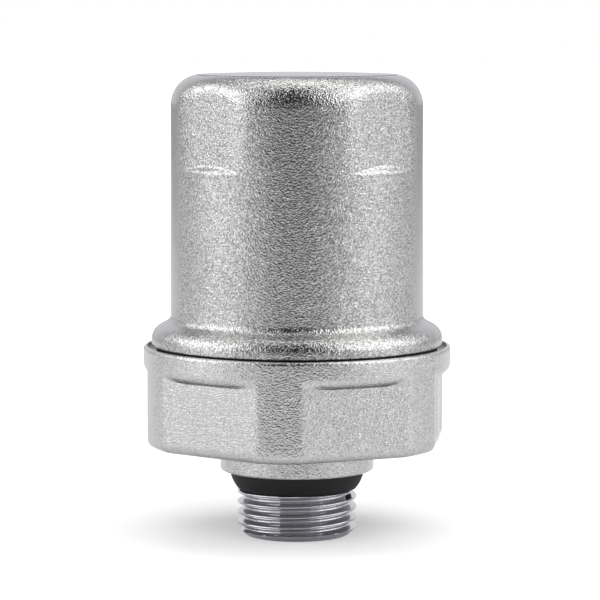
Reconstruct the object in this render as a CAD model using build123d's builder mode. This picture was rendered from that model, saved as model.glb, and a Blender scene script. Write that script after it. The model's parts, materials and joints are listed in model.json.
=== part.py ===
from build123d import *

import os
from math import cos, pi, radians, sin, tan

# Piston water hammer arrestor with a 1/2 inch parallel pipe thread.
# A forged brass cap, closed at the top, screws into a forged brass base with a hexagon and a male inlet.
# Inside the cap a sealed plastic piston slides against a coil spring and the air above it.
# Origin: centre of the inlet spigot's end face. +Z points up along the axis, -Y is the front.
# Azimuth 0 is the front, and it grows towards +X.

# Driving dimensions, in millimetres and degrees

# Inlet spigot
thread_diameter = 20.955
thread_length = 7.3
neck_length = 4.2
neck_depth = 1.2775
spigot_chamfer_depth = 1.35
spigot_chamfer_height = 1.2
inlet_diameter = 13.0
inlet_chamfer = 0.5

# Collar between the spigot and the base
collar_diameter = 27.0
collar_height = 4.65
collar_edge_round = 0.4
collar_root_round = 1.0

# Tapered inlet seal, with how far it stands out from the neck
inlet_seal_top_reach = 2.65
inlet_seal_belly_reach = 2.24
inlet_seal_belly_share = 0.52
inlet_seal_foot_reach = 1.15
inlet_seal_foot_round = 0.45
inlet_seal_foot_gap = 0.8

# Base with its hexagon, which measures 50 mm across its flats, and its rim
base_floor = 3.35
base_foot_round = 2.0
rim_height = 4.8
rim_reach = 1.45
rim_edge_round = 1.1
hexagon_wall = 2.95
hexagon_height = 12.55
hexagon_ledge_angle = 41.0
hexagon_edge_round = 1.3
hexagon_turn = 23.5
hexagon_sides = 6

# Screwed joint between base and cap
skirt_wall = 4.0
skirt_end_gap = 1.5
joint_clearance = 0.05
joint_chamfer = 0.8
body_seal_bore_step = 0.6
body_seal_bore_lead = 0.5
body_seal_bore_chamfer = 0.4
body_gland_depth = 1.7
body_gland_height = 2.6
body_gland_land = 0.6
body_seal_squeeze = 0.4

# Cap outside
cap_height = 46.93
crown_rise = 0.62
cap_shoulder_round = 5.2
cap_top_wall = 3.93
cap_foot_wall = 4.13
flange_seat_width = 2.0
flange_lip = 0.9
flange_shadow_gap = 0.25
flange_edge_round = 0.3
flange_wall = 2.7
flange_slope = 30.0
flange_round = 2.3
flange_root_round = 2.2
cap_flat_wall = 3.25
cap_flat_length = 15.4
cap_flat_draft = 1.0
cap_flat_ledge_angle = 45.0
cap_flat_edge_round = 1.5
cap_flat_turn = 45.0
cap_flat_sides = 4

# Cap inside
bore_diameter = 36.0
bore_lead = 1.0
crown_thickness = 3.93
bore_top_round = 3.0
boss_height = 3.4
boss_chamfer = 0.6

# Piston
piston_clearance = 0.08
piston_height = 18.0
piston_floor = 4.0
piston_cup_root_round = 0.8
piston_edge_chamfer = 0.5
piston_dimple_diameter = 16.0
piston_dimple_depth = 1.5
piston_land = 2.0
piston_groove_depth = 2.6
piston_groove_height = 3.6
piston_groove_wall = 1.32
guide_groove_depth = 1.2
guide_groove_height = 3.6
stop_pad_height = 1.5
stop_pad_width = 4.0
stop_pad_length = 5.0
stop_pad_circle_radius = 14.6
stop_pads = 4

# Seals, guide ring and clearances inside
seal_squeeze = 0.32
seal_clearance = 0.03
guide_clearance = 0.05
guide_split_gap = 1.0
guide_split_angle = 30.0

# Counter spring and its seats
spring_wire = 3.2
spring_side_clearance = 0.4
spring_turns = 8.0
spring_closed_turns = 0.9
spring_closed_gap = 0.15
spring_ground_share = 0.3
spring_points_per_turn = 12
spring_plate_thickness = 1.2
spring_plate_clearance = 0.3
spring_hub_height = 3.0
spring_hub_clearance = 0.7
spring_hub_round = 0.7
boss_clearance = 0.8
washer_clearance = 0.3

# How closely an edge or a face has to match a radius or a level to be picked by it
match = 0.001

# Radii
thread_radius = thread_diameter / 2
spigot_end_radius = thread_radius - spigot_chamfer_depth
inlet_radius = inlet_diameter / 2
neck_radius = thread_radius - neck_depth
collar_radius = collar_diameter / 2
inlet_seal_top_radius = neck_radius + inlet_seal_top_reach
inlet_seal_belly_radius = neck_radius + inlet_seal_belly_reach
inlet_seal_foot_radius = neck_radius + inlet_seal_foot_reach
bore_radius = bore_diameter / 2
joint_radius = bore_radius + skirt_wall
joint_bore_radius = joint_radius + joint_clearance
body_seal_bore_radius = joint_radius + body_seal_bore_step
body_gland_floor_radius = body_seal_bore_radius - body_gland_depth
body_gland_land_radius = body_seal_bore_radius - 2 * joint_clearance
flange_seat_radius = body_seal_bore_radius + flange_seat_width
flange_radius = flange_seat_radius + flange_lip
rim_radius = flange_radius + rim_reach
hexagon_across_flats = 2 * (joint_bore_radius + hexagon_wall)
cap_top_radius = bore_radius + cap_top_wall
cap_foot_radius = bore_radius + cap_foot_wall
cap_across_flats = 2 * (bore_radius + cap_flat_wall)
piston_radius = bore_radius - piston_clearance
piston_groove_radius = piston_radius - piston_groove_depth
piston_cup_radius = piston_groove_radius - piston_groove_wall
guide_groove_radius = piston_radius - guide_groove_depth
spring_outer_radius = piston_cup_radius - spring_side_clearance
spring_mean_radius = spring_outer_radius - spring_wire / 2
spring_inner_radius = spring_outer_radius - spring_wire
boss_radius = spring_inner_radius - boss_clearance

# Levels above the spigot's end face
inlet_seal_level = thread_length + inlet_seal_foot_gap
collar_level = thread_length + neck_length
base_level = collar_level + collar_height
floor_level = base_level + base_floor
hexagon_level = base_level + hexagon_height
rim_level = hexagon_level + rim_height
joint_level = floor_level + skirt_end_gap
body_gland_top_level = rim_level - body_gland_land
body_gland_level = body_gland_top_level - body_gland_height
body_seal_bore_level = body_gland_level - body_seal_bore_lead
flange_level = rim_level + flange_shadow_gap
flange_shoulder_level = rim_level + flange_wall
cap_foot_level = flange_shoulder_level + (flange_radius - cap_foot_radius) * tan(radians(flange_slope))
cap_edge_level = rim_level + cap_height
crown_level = cap_edge_level + crown_rise
cap_flat_level = crown_level - cap_flat_length
bore_top_level = cap_edge_level - crown_thickness
piston_level = floor_level + stop_pad_height
piston_top_level = piston_level + piston_height
piston_floor_level = piston_level + piston_floor
lower_groove_level = piston_level + piston_land
upper_groove_level = piston_top_level - piston_land - piston_groove_height
guide_groove_level = (lower_groove_level + upper_groove_level + piston_groove_height - guide_groove_height) / 2
spring_level = piston_floor_level + spring_plate_thickness
spring_top_level = bore_top_level - spring_plate_thickness


def circle_edges(part, radius, level):
    """Circular edges of a part that have this radius and lie at this level."""
    circles = part.edges().filter_by(GeomType.CIRCLE)
    return circles.filter_by(
        lambda edge: abs(edge.radius - radius) < match and abs(edge.arc_center.Z - level) < match
    )


def level_face(part, level):
    """The largest level face of a part at this level."""
    faces = part.faces().filter_by(Axis.Z)
    return faces.filter_by(lambda face: abs(face.center().Z - level) < match).sort_by(SortBy.AREA)[-1]


def flat_planes(count, turn):
    """Upright planes through the axis, one across each wrench flat: local x is outward, local y is up."""
    azimuths = [radians(turn + index * 360 / count) for index in range(count)]
    return [
        Plane(origin=(0, 0, 0), x_dir=(sin(a), -cos(a), 0), z_dir=(-cos(a), -sin(a), 0)) for a in azimuths
    ]


# Lower body: inlet spigot, collar, hexagon and rim in one forging, bored for the cap
with BuildPart() as lower_body:
    with BuildSketch(Plane.XZ):
        with BuildLine():
            Polyline(
                (inlet_radius, 0),
                (spigot_end_radius, 0),
                (thread_radius, spigot_chamfer_height),
                (thread_radius, thread_length),
                (neck_radius, thread_length),
                (neck_radius, collar_level),
                (collar_radius, collar_level),
                (collar_radius, base_level),
                (rim_radius, base_level),
                (rim_radius, rim_level),
                (body_seal_bore_radius, rim_level),
                (body_seal_bore_radius, body_seal_bore_level),
                (joint_bore_radius, body_seal_bore_level),
                (joint_bore_radius, floor_level),
                (inlet_radius, floor_level),
                close=True,
            )
        make_face()
    revolve(axis=Axis.Z)
    fillet(circle_edges(lower_body.part, rim_radius, rim_level), rim_edge_round)
    fillet(circle_edges(lower_body.part, collar_radius, collar_level), collar_edge_round)
    fillet(circle_edges(lower_body.part, collar_radius, base_level), collar_root_round)
    chamfer(circle_edges(lower_body.part, body_seal_bore_radius, rim_level), body_seal_bore_chamfer)
    chamfer(circle_edges(lower_body.part, inlet_radius, 0), inlet_chamfer)
    # Six wrench flats, closed above by a sloping ledge under the rim
    ledge_reach = 2 * rim_radius - hexagon_across_flats / 2
    with BuildSketch(*flat_planes(hexagon_sides, hexagon_turn)):
        with BuildLine():
            Polyline(
                (hexagon_across_flats / 2, base_level - collar_height),
                (2 * rim_radius, base_level - collar_height),
                (2 * rim_radius, hexagon_level + ledge_reach * tan(radians(hexagon_ledge_angle))),
                (hexagon_across_flats / 2, hexagon_level),
                close=True,
            )
        make_face()
    extrude(amount=rim_radius, both=True, mode=Mode.SUBTRACT)
    # The forging's soft edges: round each flat first, then round the whole foot
    flat_edges = lower_body.edges(Select.NEW).filter_by(lambda edge: (edge @ 0.5).Z > base_level + match)
    fillet(flat_edges, hexagon_edge_round)
    fillet(level_face(lower_body.part, base_level).outer_wire().edges(), base_foot_round)
    # Pads on the chamber floor that hold the piston off it, so that water reaches its whole face
    with BuildSketch(Plane.XY.offset(floor_level)):
        with PolarLocations(stop_pad_circle_radius, stop_pads):
            Rectangle(stop_pad_length, stop_pad_width)
    extrude(amount=stop_pad_height)
lower_body.part.label = "lower_body"

# Upper body: the cap with its flange, its screwed skirt and the piston's bore
with BuildPart() as upper_body:
    with BuildSketch(Plane.XZ):
        with BuildLine():
            TangentArc((0, crown_level), (cap_top_radius, cap_edge_level), tangent=(1, 0))
            Polyline(
                (cap_top_radius, cap_edge_level),
                (cap_foot_radius, cap_foot_level),
                (flange_radius, flange_shoulder_level),
                (flange_radius, flange_level),
                (flange_seat_radius, flange_level),
                (flange_seat_radius, rim_level),
                (body_gland_land_radius, rim_level),
                (body_gland_land_radius, body_gland_top_level),
                (body_gland_floor_radius, body_gland_top_level),
                (body_gland_floor_radius, body_gland_level),
                (joint_radius, body_gland_level),
                (joint_radius, joint_level),
                (bore_radius, joint_level),
                (bore_radius, bore_top_level),
                (boss_radius, bore_top_level),
                (boss_radius, bore_top_level - boss_height),
                (0, bore_top_level - boss_height),
                (0, crown_level),
            )
        make_face()
    revolve(axis=Axis.Z)
    fillet(circle_edges(upper_body.part, cap_top_radius, cap_edge_level), cap_shoulder_round)
    fillet(circle_edges(upper_body.part, cap_foot_radius, cap_foot_level), flange_root_round)
    fillet(circle_edges(upper_body.part, flange_radius, flange_shoulder_level), flange_round)
    fillet(circle_edges(upper_body.part, flange_radius, flange_level), flange_edge_round)
    fillet(circle_edges(upper_body.part, bore_radius, bore_top_level), bore_top_round)
    chamfer(circle_edges(upper_body.part, boss_radius, bore_top_level - boss_height), boss_chamfer)
    chamfer(circle_edges(upper_body.part, joint_radius, joint_level), joint_chamfer)
    chamfer(circle_edges(upper_body.part, bore_radius, joint_level), bore_lead)
    # Four wrench flats that run out into the shoulder, each on a sloping ledge
    flat_inset = cap_flat_length * tan(radians(cap_flat_draft))
    cap_ledge_reach = cap_foot_radius - cap_across_flats / 2
    with BuildSketch(*flat_planes(cap_flat_sides, cap_flat_turn)):
        with BuildLine():
            Polyline(
                (cap_across_flats / 2, cap_flat_level),
                (cap_foot_radius, cap_flat_level - cap_ledge_reach * tan(radians(cap_flat_ledge_angle))),
                (cap_foot_radius, crown_level),
                (cap_across_flats / 2 - flat_inset, crown_level),
                close=True,
            )
        make_face()
    extrude(amount=cap_foot_radius, both=True, mode=Mode.SUBTRACT)
    fillet(upper_body.edges(Select.NEW), cap_flat_edge_round)
upper_body.part.label = "upper_body"

# Inlet seal: a tapered rubber ring round the neck, under the collar, that squeezes into the fitting's mouth
inlet_seal_height = collar_level - inlet_seal_level
with BuildPart() as inlet_seal_ring:
    with BuildSketch(Plane.XZ):
        with BuildLine():
            taper = ThreePointArc(
                (inlet_seal_foot_radius, inlet_seal_level),
                (inlet_seal_belly_radius, inlet_seal_level + inlet_seal_belly_share * inlet_seal_height),
                (inlet_seal_top_radius, collar_level),
            )
            Polyline(
                taper @ 1,
                (neck_radius + seal_clearance, collar_level),
                (neck_radius + seal_clearance, inlet_seal_level),
                taper @ 0,
            )
        make_face()
    revolve(axis=Axis.Z)
    fillet(circle_edges(inlet_seal_ring.part, inlet_seal_foot_radius, inlet_seal_level), inlet_seal_foot_round)
inlet_seal_ring.part.label = "inlet_seal_ring"


def squeezed_ring_section(inner_radius, outer_radius, level, section):
    """Section of a round seal, flattened where it meets its groove and its bore. Drawn inside a sketch."""
    middle = (inner_radius + outer_radius) / 2
    with Locations((middle, level)):
        Circle(section / 2)
        Rectangle(outer_radius - inner_radius, section, mode=Mode.INTERSECT)


# Body seal: a round ring in the gland of the cap's skirt, squeezed by the base's seal bore
with BuildPart() as body_seal_ring:
    with BuildSketch(Plane.XZ):
        squeezed_ring_section(
            body_gland_floor_radius + seal_clearance,
            body_seal_bore_radius - seal_clearance,
            body_gland_level + body_gland_height / 2,
            body_gland_depth + body_seal_squeeze,
        )
    revolve(axis=Axis.Z)
body_seal_ring.part.label = "body_seal_ring"

# Piston: a moulded cup, open upward for the spring, with two seal grooves and a guide groove between them
groove_levels = (
    (lower_groove_level, piston_groove_radius, piston_groove_height),
    (guide_groove_level, guide_groove_radius, guide_groove_height),
    (upper_groove_level, piston_groove_radius, piston_groove_height),
)
with BuildPart() as piston:
    with BuildSketch(Plane.XY.offset(piston_level)):
        Circle(piston_radius)
    extrude(amount=piston_height)
    with BuildSketch(Plane.XY.offset(piston_floor_level)):
        Circle(piston_cup_radius)
    extrude(amount=piston_height, mode=Mode.SUBTRACT)
    with BuildSketch(Plane.XY.offset(piston_level)):
        Circle(piston_dimple_diameter / 2)
    extrude(amount=piston_dimple_depth, mode=Mode.SUBTRACT)
    fillet(circle_edges(piston.part, piston_cup_radius, piston_floor_level), piston_cup_root_round)
    chamfer(circle_edges(piston.part, piston_radius, piston_level), piston_edge_chamfer)
    chamfer(circle_edges(piston.part, piston_radius, piston_top_level), piston_edge_chamfer)
    for level, radius, height in groove_levels:
        with BuildSketch(Plane.XY.offset(level)):
            Circle(bore_radius)
            Circle(radius, mode=Mode.SUBTRACT)
        extrude(amount=height, mode=Mode.SUBTRACT)
piston.part.label = "piston"

# The two piston seals, squeezed between groove and bore
piston_seals = {}
for name, level in (("piston_seal_lower", lower_groove_level), ("piston_seal_upper", upper_groove_level)):
    with BuildPart() as piston_seal:
        with BuildSketch(Plane.XZ):
            squeezed_ring_section(
                piston_groove_radius + seal_clearance,
                bore_radius - seal_clearance,
                level + piston_groove_height / 2,
                piston_groove_depth + piston_clearance + seal_squeeze,
            )
        revolve(axis=Axis.Z)
    piston_seal.part.label = name
    piston_seals[name] = piston_seal

# Guide ring: a split strip that keeps the piston off the bore
with BuildPart() as piston_guide_ring:
    with BuildSketch(Plane.XY.offset(guide_groove_level + guide_clearance)):
        Circle(bore_radius - guide_clearance)
        Circle(guide_groove_radius + guide_clearance, mode=Mode.SUBTRACT)
    extrude(amount=guide_groove_height - 2 * guide_clearance)
    split_plane = Plane(
        origin=(0, -bore_radius, guide_groove_level + guide_groove_height / 2), x_dir=(1, 0, 0), z_dir=(0, -1, 0)
    ).rotated((0, guide_split_angle, 0))
    with BuildSketch(split_plane):
        Rectangle(guide_split_gap, 3 * guide_groove_height)
    extrude(amount=guide_groove_depth * 2, both=True, mode=Mode.SUBTRACT)
piston_guide_ring.part.label = "piston_guide_ring"

# Spring seat plate: a dished steel plate in the cup, whose hub centres the spring
hub_radius = spring_inner_radius - spring_hub_clearance
with BuildPart() as spring_seat_plate:
    with BuildSketch(Plane.XY.offset(piston_floor_level)):
        Circle(piston_cup_radius - piston_cup_root_round - spring_plate_clearance)
    extrude(amount=spring_plate_thickness)
    with BuildSketch(Plane.XY.offset(spring_level)):
        Circle(hub_radius)
    extrude(amount=spring_hub_height)
    with BuildSketch(Plane.XY.offset(piston_floor_level)):
        Circle(hub_radius - spring_plate_thickness)
    extrude(amount=spring_hub_height, mode=Mode.SUBTRACT)
    fillet(circle_edges(spring_seat_plate.part, hub_radius, spring_level + spring_hub_height), spring_hub_round)
spring_seat_plate.part.label = "spring_seat_plate"

# Spring top washer, centred by the boss inside the crown
with BuildPart() as spring_top_washer:
    with BuildSketch(Plane.XY.offset(spring_top_level)):
        Circle(spring_outer_radius + spring_plate_clearance)
        Circle(boss_radius + washer_clearance, mode=Mode.SUBTRACT)
    extrude(amount=spring_plate_thickness)
spring_top_washer.part.label = "spring_top_washer"


def spring_points():
    """Points along the wire's centre line: a closed coil at each end and even coils between them."""
    ground = spring_wire / 2 - spring_ground_share * spring_wire
    bottom = spring_level + ground
    top = spring_top_level - ground
    closed_rise = (spring_wire + spring_closed_gap) * spring_closed_turns
    steps = round(spring_turns * spring_points_per_turn)
    points = []
    for step in range(steps + 1):
        turn = spring_turns * step / steps
        if turn < spring_closed_turns:
            height = bottom + closed_rise * turn / spring_closed_turns
        elif turn > spring_turns - spring_closed_turns:
            height = top - closed_rise * (spring_turns - turn) / spring_closed_turns
        else:
            share = (turn - spring_closed_turns) / (spring_turns - 2 * spring_closed_turns)
            height = bottom + closed_rise + (top - bottom - 2 * closed_rise) * share
        angle = 2 * pi * turn
        points.append((spring_mean_radius * cos(angle), spring_mean_radius * sin(angle), height))
    return points


# Counter spring with closed and ground ends
with BuildPart() as counter_spring:
    with BuildLine() as wire_line:
        Spline(*spring_points())
    with BuildSketch(Plane(origin=wire_line.line @ 0, z_dir=wire_line.line % 0)):
        Circle(spring_wire / 2)
    sweep(is_frenet=True)
    with BuildSketch(Plane.XY.offset(spring_level)):
        Circle(spring_outer_radius + spring_wire)
    extrude(amount=spring_top_level - spring_level, mode=Mode.INTERSECT)
counter_spring.part.label = "counter_spring"

os.makedirs("parts", exist_ok=True)
for node in (
    lower_body,
    upper_body,
    inlet_seal_ring,
    body_seal_ring,
    piston,
    *piston_seals.values(),
    piston_guide_ring,
    spring_seat_plate,
    spring_top_washer,
    counter_spring,
):
    export_step(node.part, f"parts/{node.part.label}.step")
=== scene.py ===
import json
from math import ceil, cos, pi, radians, sin, tan

import bmesh
import bpy
import numpy as np
from mathutils import Matrix, Vector


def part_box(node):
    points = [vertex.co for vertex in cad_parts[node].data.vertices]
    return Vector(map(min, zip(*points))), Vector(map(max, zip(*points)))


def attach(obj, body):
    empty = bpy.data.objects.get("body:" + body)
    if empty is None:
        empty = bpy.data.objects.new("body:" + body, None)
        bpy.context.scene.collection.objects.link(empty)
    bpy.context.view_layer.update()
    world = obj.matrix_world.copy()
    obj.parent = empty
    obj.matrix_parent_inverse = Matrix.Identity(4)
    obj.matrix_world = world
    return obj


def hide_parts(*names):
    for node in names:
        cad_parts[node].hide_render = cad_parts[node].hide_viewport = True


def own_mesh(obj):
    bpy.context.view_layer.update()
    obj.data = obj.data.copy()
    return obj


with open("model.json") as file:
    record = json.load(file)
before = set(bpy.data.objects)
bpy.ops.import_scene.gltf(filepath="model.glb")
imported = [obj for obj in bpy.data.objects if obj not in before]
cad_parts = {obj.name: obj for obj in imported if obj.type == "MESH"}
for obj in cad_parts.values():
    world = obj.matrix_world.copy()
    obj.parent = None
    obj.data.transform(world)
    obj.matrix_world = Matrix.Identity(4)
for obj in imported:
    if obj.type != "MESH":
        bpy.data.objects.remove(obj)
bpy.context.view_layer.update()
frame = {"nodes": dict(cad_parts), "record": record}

# Looks of a piston water hammer arrestor: a blasted, nickel plated cap screwed into a hexagon base with a
# bright turned pipe thread and a black rubber ring. Profiles are in millimetres and meshes in metres.
# Azimuth 0 is the front, -Y, and it grows towards +X.

MM = 0.001


def box_mm(node):
    """Lowest and highest corner of a node, in millimetres."""
    low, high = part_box(node)
    return low / MM, high / MM


# Levels and radii that the frame gives
base_high = box_mm("lower_body")[1]
cap_low, cap_high = box_mm("upper_body")
seal_low, seal_high = box_mm("inlet_seal_ring")
spring_low, spring_high = box_mm("counter_spring")
rim_radius = base_high.x
rim_level = base_high.z
flange_radius = cap_high.x
crown_level = cap_high.z
skirt_level = cap_low.z
collar_level = seal_high.z
seal_foot_level = seal_low.z
pad_top_level = box_mm("piston")[0].z
bore_top_level = box_mm("spring_top_washer")[1].z

# Inlet spigot and its right-hand thread, with the rounded profile of a parallel pipe thread
thread_radius = 10.4775
thread_pitch = 1.814
thread_half_angle = radians(27.5)
thread_round = 0.249
thread_crest_level = 6.20
seal_foot_gap = 0.05
thread_top_level = seal_foot_level - seal_foot_gap
thread_end_turn = 70 / 360
thread_end_fade = 6 / 360
spigot_end_radius = 9.1275
spigot_end_level = 0.1
spigot_chamfer_height = 1.2
neck_radius = 9.2
inlet_radius = 6.5
inlet_chamfer = 0.5

# Pads on the chamber floor, under the piston
pad_count = 4
pad_circle_radius = 14.6
pad_length = 5.0
pad_width = 4.0
pad_height = 1.5
pad_edge_step = 0.2

# Collar and base
collar_radius = 13.5
collar_edge_round = 0.4
collar_root_round = 1.0
base_level = 16.15
base_foot_round = 1.65
base_foot_level = base_level + base_foot_round
underside_land = 2.0
underside_round_radius = collar_radius + underside_land
floor_level = pad_top_level - pad_height
hexagon_flat_count = 6
hexagon_flat_radius = 25.0
hexagon_turn = radians(23.5)
hexagon_side_blend = 0.22
hexagon_crease_blend = 0.55
rim_foot_level = 30.65
rim_foot_round = 2.02
rim_edge_round = 0.65
rim_crest_radius = 26.2
rim_crest_drop = 0.02
rim_crest_level = rim_level - rim_crest_drop
rim_crest_round = 0.1
rim_foot_margin = 0.1
groove_depth = 1.1
groove_level = rim_level - groove_depth
groove_wall_run = 0.1
joint_bore_radius = 22.05
seal_bore_radius = 22.6
seal_bore_level = 29.8
seal_bore_chamfer = 0.4
side_start_radius = seal_bore_radius + 1

# Cap
crown_rise = 0.62
crown_shares = (0, 0.25, 0.5, 0.7, 0.8)
cap_edge_level = crown_level - crown_rise
cap_shoulder_round = 5.2
cap_top_radius = 21.93
cap_foot_radius = 22.13
cap_foot_level = 37.95
flange_seat_radius = 24.6
flange_gap = 0.17
flange_level = rim_level + flange_gap
flange_height = 2.7
flange_shoulder_level = rim_level + flange_height
flange_edge_round = 0.15
flange_round = 2.7
flange_root_round = 1.5
cap_flat_count = 4
cap_flat_radius = 21.05
cap_flat_draft = radians(1)
cap_flat_turn = radians(45)
cap_flat_blend = 0.8
cap_flat_length = 16.5
cap_ledge_level = crown_level - cap_flat_length
cap_ledge_slope = 1.15
cap_ledge_blend = 0.5
cap_ledge_root_blend = 0.55
ledge_rows_above = 1.5
ledge_rows_below = 0.7
gland_radius = 20.9
gland_level = 30.3
gland_top_level = 32.9
gland_land_radius = 22.5
joint_radius = 22.0
joint_chamfer = 0.8
bore_radius = 18.0
bore_lead = 1.0
wall_start_radius = bore_radius + 0.5
bore_top_round = 3.0
boss_radius = 9.6
boss_height = 3.4
boss_level = bore_top_level - boss_height
boss_chamfer = 0.6

# Counter spring, right-hand wound, with closed ends ground flat
spring_wire_radius = 1.6
spring_turns = 8.0
spring_closed_turns = 0.9
spring_closed_pitch = 3.35
spring_ground_depth = 0.96
spring_steps_per_turn = 40
spring_wire_sides = 16

# Where the finishes change, as distances from the axis and levels a little past the faces they take in
spigot_top_level = thread_top_level + 0.02
inlet_reach = inlet_radius + 0.3
chamber_reach = joint_bore_radius + 0.5
chamber_foot_level = floor_level - 3
# Painted shade: the seam's faces between these radii on the base take a near-black material
base_seam_shade_start = seal_bore_radius - 0.1
base_seam_shade_end = flange_seat_radius + 0.1
skirt_top_level = rim_level + 0.02
bore_reach = bore_radius + 0.2
bore_end_level = bore_top_level + 0.2
# Painted shade: the seam's faces past this radius and below this level on the cap take the same near-black
# material
cap_seam_shade_start = gland_land_radius - 0.1
cap_seam_shade_level = flange_level + 0.05

# Blasted nickel: the share of pits in its relief and of slow drift in its tone, whose speckle is painted
# # glints and shade, the tone where that speckle fades, where that is and how much relief is left there,
# and
# # its two roughnesses
pit_share = 0.35
drift_share = 0.15
even_tone = 0.5
grain_fade = (0.58, 0.72)
faded_relief_share = 0.4
nickel_roughness = (0.06, 0.1)

# Meshes: columns round the axis, angle of an arc's steps, angle past which an edge is sharp, distance
# that counts as the same place, and least round of a blend
base_columns = 576
cap_columns = 480
arc_step = radians(9)
sharp_angle = radians(38)
tolerance = 0.01
least_blend = 0.001

# Camera, as in the photograph
camera_lens = 172.2
camera_place = Vector((0.00053, -0.5, 0.0921))
camera_drop = radians(5.81)

# Floor: half its width in metres, its cells across, its roughness and colours, and where it fades, in
# # millimetres, with the glow at both ends of a fade. The colours that the nickel sees hold painted shade,
# # darker far in front and from groove to groove of the thread. The glow is painted light, weakest round
# # the shadow's centre, so that it paints how far the shadow reaches, and faint behind for the nickel
floor_reach = 4
floor_cells = 8
floor_roughness = 0.9
floor_colour = (0.85, 0.85, 0.85)
floor_mirrored_painted_shade = (0.3, 0.3, 0.32)
floor_mirrored_pale = (0.79, 0.795, 0.82)
floor_front_fade = (-600, -120)
floor_back_glow = (100, 500, 0, 0.09)
shadow_centre = (0, 25, 0)
shadow_fade = (8, 42, 0.15, 0.4)
far_fade = (60, 300, 0, 0.6)

# Room that the nickel mirrors: its colours, and where they fade into one another, as parts of a direction
# to the right, backward or upward; and the room's light on the rest
room_front_high = (0.03, 0.03, 0.035)
room_front_low = (0.12, 0.12, 0.125)
room_sides = (0.4, 0.4, 0.42)
room_back = (0.72, 0.72, 0.75)
room_front_rise = (0.36, 0.2)
room_front_end = (-0.5, -0.3)
room_right_start = (0.2, 0.8)
room_sides_top = (0.75, 0.6)
room_back_start = (0.6, 0.85)
room_back_top = (0.6, 0.45)
room_light = (0.33, 0.33, 0.33)

# Lamps: the point that they face and their distance from it, then for each one its azimuth and elevation
# in degrees, its width and height in metres and the brightness of its face
lamp_target = Vector((0, 0, 0.05))
lamp_distance = 0.85
lamps = {
    "left_side_box": (-89, 30, 0.82, 0.49, 1.7),
    "right_side_box": (89, 30, 0.82, 0.49, 1.4),
    "left_front_box": (-49, 30, 0.29, 0.49, 0.75),
    "right_front_box": (52, 30, 0.2, 0.49, 1.8),
    "right_front_fill": (37, 30, 0.2, 0.49, 0.6),
    "left_low_box": (-66, 5.5, 0.9, 0.26, 0.97),
    "right_low_box": (72, 5.5, 0.68, 0.26, 0.73),
    "left_over_box": (-80, 56, 1.04, 0.3, 0.75),
    "right_over_box": (80, 56, 1.04, 0.3, 1.6),
    "top_box": (180, 77, 0.7, 0.6, 1.65),
}


def make_camera():
    """The camera, where the photograph was taken from."""
    data = bpy.data.cameras.new("camera")
    data.sensor_width = 36
    data.lens = camera_lens
    camera = bpy.data.objects.new("camera", data)
    camera.location = camera_place
    camera.rotation_euler = (pi / 2 - camera_drop, 0, 0)
    bpy.context.scene.collection.objects.link(camera)
    bpy.context.scene.camera = camera


make_camera()


def outline(corners, closed):
    """Points along an outline, in millimetres. A corner is its radius, level, round and step: the round
    is the radius of its arc, and the step is the greatest spacing of the points that follow it."""
    places = [np.array(corner[:2], float) for corner in corners]
    last = len(corners) - 1
    arcs = []
    for index, corner in enumerate(corners):
        here = places[index]
        corner_round = corner[2]
        ends_here = not closed and index in (0, last)
        if not corner_round or ends_here:
            arcs.append([here])
            continue
        before = places[index - 1] - here
        after = places[(index + 1) % len(places)] - here
        before /= np.linalg.norm(before)
        after /= np.linalg.norm(after)
        half = np.arccos(np.clip(before @ after, -1, 1)) / 2
        middle = (before + after) / np.linalg.norm(before + after)
        centre = here + middle * corner_round / sin(half)
        start = here + before * corner_round / tan(half) - centre
        end = here + after * corner_round / tan(half) - centre
        sweep = pi - 2 * half
        steps = max(2, ceil(sweep / arc_step))
        arc = []
        for share in np.linspace(0, 1, steps + 1):
            turned = sin((1 - share) * sweep) * start + sin(share * sweep) * end
            arc.append(centre + turned / sin(sweep))
        arcs.append(arc)
    points = []
    for index, arc in enumerate(arcs):
        points.extend(arc)
        if index == last and not closed:
            break
        run = arcs[(index + 1) % len(arcs)][0] - arc[-1]
        spans = max(1, ceil(np.linalg.norm(run) / corners[index][3]))
        points.extend(arc[-1] + run * k / spans for k in range(1, spans))
    return np.array(points)


def soft_min(first, second, blend):
    """The lesser of two values, rounded where they meet."""
    overlap = np.maximum(blend - np.abs(first - second), 0) / blend
    return np.minimum(first, second) - overlap * overlap * blend / 4


def soft_max(first, second, blend):
    """The greater of two values, rounded where they meet."""
    return -soft_min(-first, -second, blend)


def flat_distance(azimuth, count, turn):
    """Cosine of the angle from each azimuth to the middle of the nearest wrench flat."""
    pitch = 2 * pi / count
    return np.cos((azimuth - turn + pitch / 2) % pitch - pitch / 2)


def finished(name, mesh):
    """An object from a bmesh, smooth but for its sharp edges."""
    bmesh.ops.recalc_face_normals(mesh, faces=mesh.faces)
    data = bpy.data.meshes.new(name)
    mesh.to_mesh(data)
    mesh.free()
    data.shade_smooth()
    data.set_sharp_from_angle(angle=sharp_angle)
    piece = bpy.data.objects.new(name, data)
    bpy.context.scene.collection.objects.link(piece)
    return piece


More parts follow.
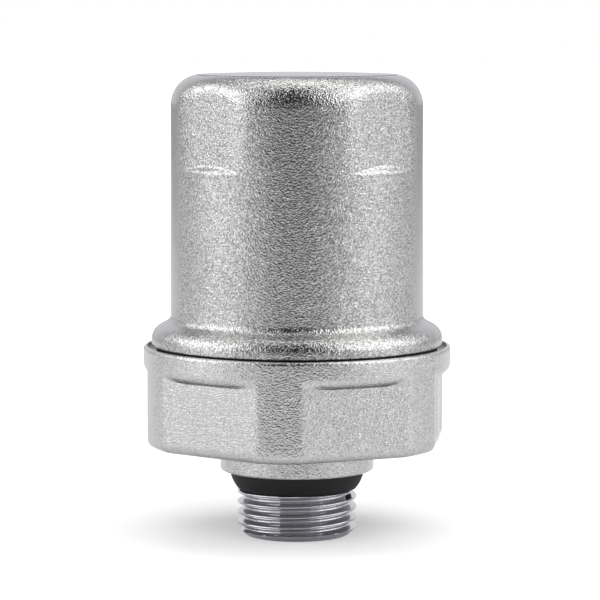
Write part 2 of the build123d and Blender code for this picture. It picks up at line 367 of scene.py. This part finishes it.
def turned_mesh(name, points, columns, reshape):
    """A mesh turned about the axis from outline points, each column's radius set by the reshape function.
    Points on the axis become poles; an outline that leaves none there closes on itself."""
    azimuth = np.arange(columns) * 2 * pi / columns
    grid_azimuth, radius = np.meshgrid(azimuth, points[:, 0])
    level = np.repeat(points[:, 1:], columns, axis=1)
    radius = reshape(grid_azimuth, radius, level)
    mesh = bmesh.new()
    rows = []
    for row in range(len(points)):
        if points[row, 0] == 0:
            rows.append([mesh.verts.new((0, 0, points[row, 1] * MM))])
            continue
        rows.append(
            [
                mesh.verts.new((r * sin(a) * MM, -r * cos(a) * MM, z * MM))
                for a, r, z in zip(azimuth, radius[row], level[row])
            ]
        )
    closed = points[0, 0] > 0
    for row in range(len(rows) - (0 if closed else 1)):
        here, onward = rows[row], rows[(row + 1) % len(rows)]
        for column in range(columns):
            side = (column + 1) % columns
            corners = [here[column % len(here)], here[side % len(here)]]
            corners += [onward[side % len(onward)], onward[column % len(onward)]]
            mesh.faces.new(list(dict.fromkeys(corners)))
    return finished(name, mesh)


def thread_radius_at(offset):
    """Radius of the thread's surface at an axial offset from the nearest crest."""
    offset = np.abs(offset)
    rounded = thread_round * cos(thread_half_angle)
    crest_centre = thread_radius - thread_round
    crest = crest_centre + np.sqrt(np.maximum(thread_round**2 - offset**2, 0))
    flank_start = crest_centre + thread_round * sin(thread_half_angle)
    flank = flank_start - (offset - rounded) / tan(thread_half_angle)
    root_offset = thread_pitch / 2 - offset
    root_start = flank_start - (thread_pitch / 2 - 2 * rounded) / tan(thread_half_angle)
    root_centre = root_start + thread_round * sin(thread_half_angle)
    root = root_centre - np.sqrt(np.maximum(thread_round**2 - root_offset**2, 0))
    return np.where(offset < rounded, crest, np.where(root_offset < rounded, root, flank))


def spigot_radius(azimuth, level):
    """Radius of the threaded spigot: one helical ridge that ends in a rounded tip above and runs out
    through the chamfer below."""
    turn = (azimuth + pi) % (2 * pi) / (2 * pi) - 0.5
    height = (level - thread_crest_level) / thread_pitch - turn
    ridge = np.round(height)
    ridge_radius = thread_radius_at((height - ridge) * thread_pitch)
    left = np.clip((1 + thread_end_turn - ridge - turn) / thread_end_fade, 0, 1)
    tip = np.sqrt(1 - (1 - left) ** 2)
    threaded = neck_radius + (ridge_radius - neck_radius) * tip
    chamfer = spigot_end_radius + level * (thread_radius - spigot_end_radius) / spigot_chamfer_height
    return np.minimum(threaded, chamfer)


def base_side_radius(azimuth, radius, level):
    """Radius of the base's side: six flats under the rim, whose foot is a quarter round."""
    flat = hexagon_flat_radius / flat_distance(azimuth, hexagon_flat_count, hexagon_turn)
    drop = np.clip((rim_foot_level - level) / rim_foot_round, 0, 1)
    rim = rim_radius - rim_foot_round * (1 - np.sqrt(1 - drop**2))
    side = soft_max(flat, rim, hexagon_crease_blend)
    return soft_min(radius, side, hexagon_side_blend)


def reshape_base(azimuth, radius, level):
    """The base's outside: thread, underside that follows the hexagon, flats and rim."""
    on_thread = (level <= thread_top_level) & (radius > neck_radius + tolerance)
    above_foot = level >= base_foot_level - tolerance
    on_side = (radius > side_start_radius) & above_foot
    in_chamber = (radius < joint_bore_radius + tolerance) & (level > floor_level - tolerance)
    on_foot = (radius > collar_radius) & (level >= base_level - tolerance) & ~above_foot & ~in_chamber
    full_radius = np.full_like(radius, rim_radius)
    foot_side = base_side_radius(azimuth, full_radius, np.full_like(level, base_foot_level))
    foot_width = rim_radius - base_foot_round - underside_round_radius
    share = np.clip((radius - underside_round_radius) / foot_width, 0, 1)
    foot = radius * (1 + (foot_side / rim_radius - 1) * share)
    shaped = np.where(on_thread, spigot_radius(azimuth, level), radius)
    shaped = np.where(on_side, base_side_radius(azimuth, radius, level), shaped)
    return np.where(on_foot, foot, shaped)


def base_forging():
    """The base in one piece, threaded spigot to rim, with the bore that takes the cap."""
    corners = [
        (inlet_radius, inlet_chamfer, 0, 4),
        (inlet_radius, floor_level, 0, 4),
        (joint_bore_radius, floor_level, 0, 4),
        (joint_bore_radius, seal_bore_level, 0, 4),
        (seal_bore_radius, seal_bore_level, 0, 4),
        (seal_bore_radius, rim_level - seal_bore_chamfer, 0, 4),
        (seal_bore_radius + seal_bore_chamfer, rim_level, 0, 1),
        (flange_seat_radius - groove_wall_run, rim_level, 0, 1),
        (flange_seat_radius, groove_level, 0, 1),
        (rim_crest_radius - groove_wall_run, groove_level, 0, 1),
        (rim_crest_radius, rim_crest_level, rim_crest_round, 0.2),
        (rim_radius, rim_crest_level, rim_edge_round, 0.2),
        (rim_radius, rim_foot_level, 0, 0.07),
        (rim_radius, rim_foot_level - rim_foot_round - rim_foot_margin, 0, 1),
        (rim_radius, base_level, base_foot_round, 1.5),
        (collar_radius, base_level, collar_root_round, 1),
        (collar_radius, collar_level, collar_edge_round, 2),
        (neck_radius, collar_level, 0, 2),
        (neck_radius, thread_top_level, 0, 1),
        (thread_radius, thread_top_level, 0, 0.06),
        (thread_radius, spigot_end_level, 0, 1),
        (spigot_end_radius, 0, 0, 1),
        (inlet_radius + inlet_chamfer, 0, 0, 1),
    ]
    return turned_mesh("base_forging", outline(corners, closed=True), base_columns, reshape_base)


def reshape_cap(azimuth, radius, level):
    """The cap's outside, with four flats that run out into the shoulder and end below on a cone."""
    rise = level - cap_ledge_level
    flat = cap_flat_radius - rise * tan(cap_flat_draft)
    flat /= flat_distance(azimuth, cap_flat_count, cap_flat_turn)
    flatted = soft_min(radius, flat, cap_flat_blend)
    cone = soft_min(radius, cap_top_radius - rise * cap_ledge_slope, cap_ledge_blend)
    root_blend = np.clip((radius - flatted) / 2, least_blend, cap_ledge_root_blend)
    shaped = soft_max(flatted, cone, root_blend)
    return np.where(radius > wall_start_radius, shaped, radius)


def cap_forging():
    """The closed cap: crown, shoulder, wall, flange, screwed skirt and bore."""
    crown = [(cap_top_radius * share, crown_level - crown_rise * share**2, 0, 3) for share in crown_shares]
    corners = crown + [
        (cap_top_radius, cap_edge_level, cap_shoulder_round, 0.4),
        (cap_top_radius, cap_ledge_level + ledge_rows_above, 0, 0.1),
        (cap_top_radius, cap_ledge_level - ledge_rows_below, 0, 2.5),
        (cap_foot_radius, cap_foot_level, flange_root_round, 0.5),
        (flange_radius, flange_shoulder_level, flange_round, 0.5),
        (flange_radius, flange_level, flange_edge_round, 0.5),
        (gland_land_radius, flange_level, 0, 1),
        (gland_land_radius, gland_top_level, 0, 1),
        (gland_radius, gland_top_level, 0, 2),
        (gland_radius, gland_level, 0, 1),
        (joint_radius, gland_level, 0, 4),
        (joint_radius, skirt_level + joint_chamfer, 0, 1),
        (joint_radius - joint_chamfer, skirt_level, 0, 2),
        (bore_radius + bore_lead, skirt_level, 0, 1),
        (bore_radius, skirt_level + bore_lead, 0, 6),
        (bore_radius, bore_top_level, bore_top_round, 2),
        (boss_radius, bore_top_level, 0, 2),
        (boss_radius, boss_level + boss_chamfer, 0, 1),
        (boss_radius - boss_chamfer, boss_level, 0, 3),
        (0, boss_level, 0, 3),
    ]
    return turned_mesh("cap_forging", outline(corners, closed=False), cap_columns, reshape_cap)


def floor_pads():
    """Four low pads on the chamber floor that the piston rests on, with a small step along each edge."""
    mesh = bmesh.new()
    centre = Vector((pad_circle_radius, 0, floor_level + pad_height / 2)) * MM
    shape = Matrix.Diagonal((pad_length * MM, pad_width * MM, pad_height * MM, 1))
    for index in range(pad_count):
        turn = Matrix.Rotation(index * 2 * pi / pad_count, 4, "Z")
        bmesh.ops.create_cube(mesh, size=1, matrix=turn @ Matrix.Translation(centre) @ shape)
    step = pad_edge_step * MM
    bmesh.ops.bevel(mesh, geom=mesh.edges[:], offset=step, segments=2, profile=0, affect="EDGES")
    return finished("floor_pads", mesh)


def spring_levels(turns, bottom, top):
    """Levels of the wire's centre after numbers of turns from the spring's foot."""
    closed_rise = spring_closed_pitch * spring_closed_turns
    marks = (0, spring_closed_turns, spring_turns - spring_closed_turns, spring_turns)
    return np.interp(turns, marks, (bottom, bottom + closed_rise, top - closed_rise, top))


def spring_coil():
    """The counter spring: round wire wound on a helix, ground flat at both ends."""
    above_ground = spring_wire_radius - spring_ground_depth
    mean_radius = spring_high.x - spring_wire_radius
    turns = np.linspace(0, spring_turns, round(spring_turns * spring_steps_per_turn) + 1)
    levels = spring_levels(turns, spring_low.z + above_ground, spring_high.z - above_ground)
    mesh = bmesh.new()
    rings = []
    for turn, level in zip(turns, levels):
        angle = 2 * pi * turn
        ring = []
        for side in range(spring_wire_sides):
            around = 2 * pi * side / spring_wire_sides
            radius = mean_radius + spring_wire_radius * cos(around)
            height = min(max(level + spring_wire_radius * sin(around), spring_low.z), spring_high.z)
            ring.append(mesh.verts.new((radius * cos(angle) * MM, radius * sin(angle) * MM, height * MM)))
        rings.append(ring)
    for here, onward in zip(rings, rings[1:]):
        for side in range(spring_wire_sides):
            beside = (side + 1) % spring_wire_sides
            mesh.faces.new((here[side], here[beside], onward[beside], onward[side]))
    mesh.faces.new(rings[0])
    mesh.faces.new(rings[-1])
    return finished("spring_coil", mesh)


def add(tree, kind, inputs=(), **settings):
    """A shader node with its settings, and its inputs as values or as links from other sockets."""
    made = tree.nodes.new(kind)
    for name, value in settings.items():
        setattr(made, name, value)
    for key, value in dict(inputs).items():
        if isinstance(value, bpy.types.NodeSocket):
            tree.links.new(value, made.inputs[key])
        else:
            made.inputs[key].default_value = value
    return made


def computed(tree, operation, first, second):
    """Two values put through one operation."""
    return add(tree, "ShaderNodeMath", {0: first, 1: second}, operation=operation).outputs[0]


def mapped(tree, value, start, end, low=0.0, high=1.0, curve="LINEAR"):
    """A value brought from the range start to end into the range low to high."""
    inputs = {"Value": value, "From Min": start, "From Max": end, "To Min": low, "To Max": high}
    return add(tree, "ShaderNodeMapRange", inputs, interpolation_type=curve).outputs["Result"]


def mixed_value(tree, factor, first, second):
    """A value between two, by a factor from 0 to 1."""
    inputs = {"Factor": factor, 2: first, 3: second}
    return add(tree, "ShaderNodeMix", inputs, data_type="FLOAT").outputs[0]


def mixed_colour(tree, factor, first, second):
    """A colour between two, by a factor from 0 to 1. Each is three numbers or a link."""
    inputs = {"Factor": factor}
    for key, colour in ((6, first), (7, second)):
        inputs[key] = colour if isinstance(colour, bpy.types.NodeSocket) else (*colour, 1)
    return add(tree, "ShaderNodeMix", inputs, data_type="RGBA").outputs[2]


def noise(tree, position, scale, detail, roughness=0.5, distortion=0.0):
    """Value of a noise texture."""
    inputs = {"Vector": position, "Scale": scale, "Detail": detail}
    inputs |= {"Roughness": roughness, "Distortion": distortion}
    return add(tree, "ShaderNodeTexNoise", inputs).outputs["Fac"]


def shader_group(name, inputs, outputs):
    """An empty node group with float or vector inputs and float outputs, and its two end nodes."""
    group = bpy.data.node_groups.new(name, "ShaderNodeTree")
    for label, kind, value in inputs:
        socket = group.interface.new_socket(label, in_out="INPUT", socket_type=kind)
        if value is not None:
            socket.default_value = value
    for label in outputs:
        group.interface.new_socket(label, in_out="OUTPUT", socket_type="NodeSocketFloat")
    return group, group.nodes.new("NodeGroupInput").outputs, group.nodes.new("NodeGroupOutput").inputs


def blast_grain_group():
    """Surface left by shot blasting: rounded dents of one size over finer grain, facets in random tones
    that paint glints and shade, and slow drift of tone."""
    group, given, result = shader_group(
        "blast_grain",
        [("Position", "NodeSocketVector", None), ("Grain", "NodeSocketFloat", 0.5)],
        ["Height", "Painted_glints", "Drift"],
    )
    spread = add(group, "ShaderNodeCombineXYZ", {0: given["Grain"], 1: given["Grain"], 2: given["Grain"]})
    scaled = add(
        group, "ShaderNodeVectorMath", {0: given["Position"], 1: spread.outputs[0]}, operation="DIVIDE"
    ).outputs[0]
    dents = noise(group, scaled, scale=1.0, detail=1.0, roughness=0.45, distortion=0.4)
    pits = add(
        group,
        "ShaderNodeTexVoronoi",
        {"Vector": scaled, "Scale": 1.15, "Smoothness": 0.35},
        feature="SMOOTH_F1",
    )
    facets = add(group, "ShaderNodeTexVoronoi", {"Vector": scaled, "Scale": 1.35}, feature="F1")
    facet = add(group, "ShaderNodeSeparateColor", {0: facets.outputs["Color"]})
    height = mixed_value(group, pit_share, dents, pits.outputs["Distance"])
    group.links.new(height, result["Height"])
    group.links.new(facet.outputs[0], result["Painted_glints"])
    group.links.new(noise(group, scaled, scale=0.03, detail=3.0), result["Drift"])
    return group


def moulded_skin_group():
    """Skin of a moulded part: fine even grain and a few larger flow marks."""
    group, given, result = shader_group(
        "moulded_skin",
        [("Position", "NodeSocketVector", None), ("Grain", "NodeSocketFloat", 0.25)],
        ["Height", "Flow"],
    )
    scale = computed(group, "DIVIDE", 1.0, given["Grain"])
    fine = noise(group, given["Position"], scale=scale, detail=2.0, roughness=0.6)
    flow = noise(group, given["Position"], scale=0.35, detail=2.0, distortion=1.2)
    group.links.new(fine, result["Height"])
    group.links.new(flow, result["Flow"])
    return group


def tool_lines_group():
    """Fine lines left by a turning tool or a drawing die, along one direction."""
    group, given, result = shader_group(
        "tool_lines",
        [("Position", "NodeSocketVector", None), ("Squeeze", "NodeSocketVector", (0.3, 0.3, 14.0))],
        ["Height", "Wear"],
    )
    squeezed = add(
        group, "ShaderNodeVectorMath", {0: given["Position"], 1: given["Squeeze"]}, operation="MULTIPLY"
    ).outputs[0]
    lines = noise(group, squeezed, scale=1.0, detail=3.0, roughness=0.6)
    wear = noise(group, given["Position"], scale=0.6, detail=3.0)
    group.links.new(lines, result["Height"])
    group.links.new(wear, result["Wear"])
    return group


blast_grain = blast_grain_group()
moulded_skin = moulded_skin_group()
tool_lines = tool_lines_group()


def new_material(name):
    """A material with its tree, its Principled BSDF and the position in millimetres."""
    material = bpy.data.materials.new(name)
    material.use_nodes = True
    tree = material.node_tree
    coordinates = add(tree, "ShaderNodeTexCoord")
    position = add(
        tree,
        "ShaderNodeVectorMath",
        {0: coordinates.outputs["Object"], 1: (1 / MM, 1 / MM, 1 / MM)},
        operation="MULTIPLY",
    )
    return material, tree, tree.nodes["Principled BSDF"], position.outputs[0]


def bumped(tree, shader, height, depth, strength=1.0):
    """Relief of a depth in millimetres on a shader's normal."""
    bump = add(tree, "ShaderNodeBump", {"Height": height, "Distance": depth * MM, "Strength": strength})
    tree.links.new(bump.outputs["Normal"], shader.inputs["Normal"])


def blasted_nickel(name, grain, depth, contrast, colour):
    """Shot blasted brass under nickel plate, whose facets differ in tone by the contrast, a painted
    speckle of glints and shade. Where it turns away from the view, that painted speckle evens out and its
    relief weakens, as the grain fades on the real plate."""
    material, tree, shader, position = new_material(name)
    surface = add(tree, "ShaderNodeGroup", {"Position": position, "Grain": grain}, node_tree=blast_grain)
    # Painted glints and shade: the facets' random tones set the base colour, evened out where the surface
    # turns away from the view
    tone = mixed_value(tree, drift_share, surface.outputs["Painted_glints"], surface.outputs["Drift"])
    view = add(tree, "ShaderNodeLayerWeight", {"Blend": 0.5})
    edge = mapped(tree, view.outputs["Facing"], *grain_fade)
    tone = mixed_value(tree, edge, tone, even_tone)
    darker, lighter = [
        tuple(channel * share for channel in colour) for share in (1 - contrast, 1 + contrast)
    ]
    tree.links.new(mixed_colour(tree, tone, darker, lighter), shader.inputs["Base Color"])
    roughness = mapped(tree, surface.outputs["Drift"], 0, 1, *nickel_roughness)
    tree.links.new(roughness, shader.inputs["Roughness"])
    shader.inputs["Metallic"].default_value = 1.0
    strength = mapped(tree, edge, 0, 1, 1.0, faded_relief_share)
    bumped(tree, shader, surface.outputs["Height"], depth, strength)
    return material


def lined_metal(name, darker, lighter, squeeze, roughness, roughened_by, depth):
    """Turned, drawn or pressed metal whose squeeze makes its fine lines. Its colour follows the wear, and
    its roughness the wear or the lines' height."""
    material, tree, shader, position = new_material(name)
    lines = add(
        tree, "ShaderNodeGroup", {"Position": position, "Squeeze": squeeze}, node_tree=tool_lines
    )
    wear = lines.outputs["Wear"]
    tree.links.new(mixed_colour(tree, wear, darker, lighter), shader.inputs["Base Color"])
    roughened = mapped(tree, lines.outputs[roughened_by], 0, 1, *roughness)
    tree.links.new(roughened, shader.inputs["Roughness"])
    shader.inputs["Metallic"].default_value = 1.0
    bumped(tree, shader, lines.outputs["Height"], depth)
    return material


def moulded(name, darker, lighter, roughness, grain, depth):
    """Moulded rubber or plastic, or the near-black matter that paints shade in the seam, whose colour and
    roughness follow its flow marks.
    """
    material, tree, shader, position = new_material(name)
    skin = add(tree, "ShaderNodeGroup", {"Position": position, "Grain": grain}, node_tree=moulded_skin)
    flow = skin.outputs["Flow"]
    tree.links.new(mixed_colour(tree, flow, darker, lighter), shader.inputs["Base Color"])
    tree.links.new(mapped(tree, flow, 0, 1, *roughness), shader.inputs["Roughness"])
    bumped(tree, shader, skin.outputs["Height"], depth)
    return material


finishes = {
    "nickel_plated_cap": blasted_nickel(
        "blasted_cap", grain=0.31, depth=0.15, contrast=0.47, colour=(0.57, 0.57, 0.56)
    ),
    "nickel_plated_base": blasted_nickel(
        "blasted_base", grain=0.31, depth=0.15, contrast=0.24, colour=(0.65, 0.65, 0.635)
    ),
    "inlet_rubber": moulded(
        "inlet_rubber",
        darker=(0.003, 0.003, 0.003),
        lighter=(0.006, 0.006, 0.006),
        roughness=(0.54, 0.66),
        grain=0.22,
        depth=0.01,
    ),
    "seal_rubber": moulded(
        "seal_rubber",
        darker=(0.01, 0.01, 0.01),
        lighter=(0.02, 0.02, 0.02),
        roughness=(0.26, 0.38),
        grain=0.3,
        depth=0.005,
    ),
    "piston_plastic": moulded(
        "piston_acetal",
        darker=(0.78, 0.78, 0.75),
        lighter=(0.86, 0.86, 0.83),
        roughness=(0.36, 0.48),
        grain=0.4,
        depth=0.006,
    ),
    "guide_plastic": moulded(
        "guide_strip",
        darker=(0.3, 0.19, 0.11),
        lighter=(0.42, 0.28, 0.18),
        roughness=(0.44, 0.56),
        grain=0.2,
        depth=0.01,
    ),
    "steel_plate": lined_metal(
        "pressed_steel",
        darker=(0.5, 0.5, 0.51),
        lighter=(0.64, 0.64, 0.65),
        squeeze=(9.0, 0.4, 0.4),
        roughness=(0.22, 0.38),
        roughened_by="Height",
        depth=0.004,
    ),
    "spring_steel": lined_metal(
        "drawn_wire",
        darker=(0.36, 0.36, 0.37),
        lighter=(0.5, 0.5, 0.51),
        squeeze=(0.5, 0.5, 7.0),
        roughness=(0.2, 0.36),
        roughened_by="Height",
        depth=0.004,
    ),
}
turned_nickel = lined_metal(
    "turned_nickel",
    darker=(0.66, 0.66, 0.69),
    lighter=(0.8, 0.8, 0.82),
    squeeze=(0.3, 0.3, 9.0),
    roughness=(0.02, 0.05),
    roughened_by="Wear",
    depth=0.0002,
)
# Painted shade: a near-black material on the faces of the seam between the flange and the rim
seam_painted_shade = moulded(
    "seam_painted_shade",
    darker=(0.01, 0.01, 0.012),
    lighter=(0.02, 0.02, 0.024),
    roughness=(0.54, 0.66),
    grain=0.3,
    depth=0.01,
)

# Places of the three materials on each forging: blasted metal, turned metal, and a near-black material
# that
# # paints the shade in the seam under the flange
BLASTED, TURNED, SEAM_SHADE = range(3)


def base_material_at(reach, level):
    """Material on the base at a distance from the axis and a level: painted shade in the seam under the
    flange, turned metal on the spigot and in the inlet and the chamber, and blasted metal on the rest."""
    if base_seam_shade_start < reach < base_seam_shade_end and level > seal_bore_level:
        return SEAM_SHADE
    in_chamber = reach < chamber_reach and level > chamber_foot_level
    turned = in_chamber or level < spigot_top_level or reach < inlet_reach
    return TURNED if turned else BLASTED


def cap_material_at(reach, level):
    """Material on the cap at a distance from the axis and a level: painted shade in the seam under the
    flange, turned metal on the skirt and in the bore, and blasted metal on the rest."""
    if reach > cap_seam_shade_start and level < cap_seam_shade_level:
        return SEAM_SHADE
    turned = level < skirt_top_level or reach < bore_reach and level < bore_end_level
    return TURNED if turned else BLASTED


def dress(piece, body, slot, *nodes):
    """A piece rides on its body, stands for its nodes and takes its slot's finish."""
    piece.data.materials.append(finishes[slot])
    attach(piece, body)
    if nodes:
        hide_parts(*nodes)


def dress_forging(piece, slot, node, material_at):
    """A forging with its slot's finish, and turned metal and painted seam shade where the function puts
    them.
    """
    dress(piece, "housing", slot, node)
    piece.data.materials.append(turned_nickel)
    piece.data.materials.append(seam_painted_shade)
    for face in piece.data.polygons:
        centre = face.center / MM
        face.material_index = material_at(Vector((centre.x, centre.y)).length, centre.z)


dress_forging(base_forging(), "nickel_plated_base", "lower_body", base_material_at)
dress_forging(cap_forging(), "nickel_plated_cap", "upper_body", cap_material_at)

pads = floor_pads()
pads.data.materials.append(turned_nickel)
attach(pads, "housing")

coil = spring_coil()
dress(coil, "housing", "spring_steel", "counter_spring")
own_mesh(coil)

# The other pieces keep their own meshes and take their finishes
slots = {part["node"]: part["material_slot"] for part in frame["record"]["subparts"]}
for node, piece in frame["nodes"].items():
    if node in ("lower_body", "upper_body", "counter_spring"):
        continue
    piece.data.materials.clear()
    piece.data.materials.append(finishes[slots[node]])


def make_floor():
    """A wide pale floor that keeps the object's soft shadow and is white to the camera elsewhere through a
    painted glow, which also paints how far the shadow reaches. The nickel mirrors it grey, with painted
    shade far in front and from groove to groove of the thread."""
    mesh = bmesh.new()
    bmesh.ops.create_grid(mesh, x_segments=floor_cells, y_segments=floor_cells, size=floor_reach)
    floor = finished("studio_floor", mesh)
    material, tree, shader, position = new_material("studio_floor")
    seen = add(tree, "ShaderNodeLightPath").outputs
    depth = add(tree, "ShaderNodeSeparateXYZ", {0: position}).outputs[1]

    # Painted shade: rays other than the camera's see the floor darker far in front and after their first
    # bounce, which darkens the thread's grooves
    first_mirrored = computed(tree, "LESS_THAN", seen["Ray Depth"], 1.5)
    not_far = computed(tree, "MULTIPLY", mapped(tree, depth, *floor_front_fade), first_mirrored)
    mirrored = mixed_colour(tree, not_far, floor_mirrored_painted_shade, floor_mirrored_pale)
    colour = mixed_colour(tree, seen["Is Camera Ray"], mirrored, floor_colour)
    tree.links.new(colour, shader.inputs["Base Color"])
    shader.inputs["Roughness"].default_value = floor_roughness

    # Painted light: a glow for the camera, weakest round the shadow's centre, paints how far the shadow
    # reaches, and a faint glow behind shows in the nickel
    reach = add(tree, "ShaderNodeVectorMath", {0: position, 1: shadow_centre}, operation="DISTANCE")
    past_shadow = mapped(tree, reach.outputs["Value"], *shadow_fade, curve="SMOOTHSTEP")
    far_away = mapped(tree, reach.outputs["Value"], *far_fade, curve="SMOOTHSTEP")
    shine = computed(tree, "ADD", past_shadow, far_away)
    shown_glow = computed(tree, "MULTIPLY", seen["Is Camera Ray"], shine)
    behind = mapped(tree, depth, *floor_back_glow)
    mirrored_glow = computed(tree, "MULTIPLY", seen["Is Glossy Ray"], behind)
    glow = computed(tree, "ADD", mirrored_glow, shown_glow)
    tree.links.new(glow, shader.inputs["Emission Strength"])
    shader.inputs["Emission Color"].default_value = (1, 1, 1, 1)
    floor.data.materials.append(material)


def make_lamp(name, azimuth, elevation, width, height, radiance):
    """A flat soft lamp that faces the object and isn't seen itself."""
    across, up = radians(azimuth), radians(elevation)
    way = Vector((sin(across) * cos(up), -cos(across) * cos(up), sin(up)))
    data = bpy.data.lights.new(name, "AREA")
    data.shape = "RECTANGLE"
    data.size = width
    data.size_y = height
    data.energy = radiance * pi * width * height
    lamp = bpy.data.objects.new(name, data)
    lamp.location = lamp_target + way * lamp_distance
    lamp.rotation_euler = (-way).to_track_quat("-Z", "Y").to_euler()
    lamp.visible_camera = False
    bpy.context.scene.collection.objects.link(lamp)


def make_world():
    """White behind the object for the camera, soft light for the rest, and for the nickel a dark room in
    front, grey sides and a paler wall low behind."""
    world = bpy.data.worlds.new("studio")
    bpy.context.scene.world = world
    world.use_nodes = True
    tree = world.node_tree
    tree.nodes.clear()
    coordinates = add(tree, "ShaderNodeTexCoord")
    direction = add(tree, "ShaderNodeSeparateXYZ", {0: coordinates.outputs["Generated"]})
    rightward, backward, upward = direction.outputs

    low_in_front = mapped(tree, upward, *room_front_rise)
    front = mixed_colour(tree, low_in_front, room_front_high, room_front_low)
    past_front = mapped(tree, backward, *room_front_end)
    sideways = computed(tree, "MAXIMUM", past_front, mapped(tree, rightward, *room_right_start))
    beside = computed(tree, "MINIMUM", sideways, mapped(tree, upward, *room_sides_top))
    front_and_sides = mixed_colour(tree, beside, front, room_sides)
    low_behind = mapped(tree, upward, *room_back_top)
    behind = computed(tree, "MINIMUM", mapped(tree, backward, *room_back_start), low_behind)
    walls = mixed_colour(tree, behind, front_and_sides, room_back)

    seen = add(tree, "ShaderNodeLightPath").outputs
    backdrop = add(tree, "ShaderNodeBackground", {"Color": (1, 1, 1, 1), "Strength": 1.0})
    room = add(tree, "ShaderNodeBackground", {"Color": walls, "Strength": 1.0})
    light = add(tree, "ShaderNodeBackground", {"Color": (*room_light, 1), "Strength": 1.0})
    unseen = add(
        tree,
        "ShaderNodeMixShader",
        {0: seen["Is Glossy Ray"], 1: light.outputs[0], 2: room.outputs[0]},
    )
    whole = add(
        tree,
        "ShaderNodeMixShader",
        {0: seen["Is Camera Ray"], 1: unseen.outputs[0], 2: backdrop.outputs[0]},
    )
    add(tree, "ShaderNodeOutputWorld", {"Surface": whole.outputs[0]})


make_floor()
make_world()
for name, settings in lamps.items():
    make_lamp(name, *settings)
bpy.context.scene.view_settings.view_transform = "Standard"
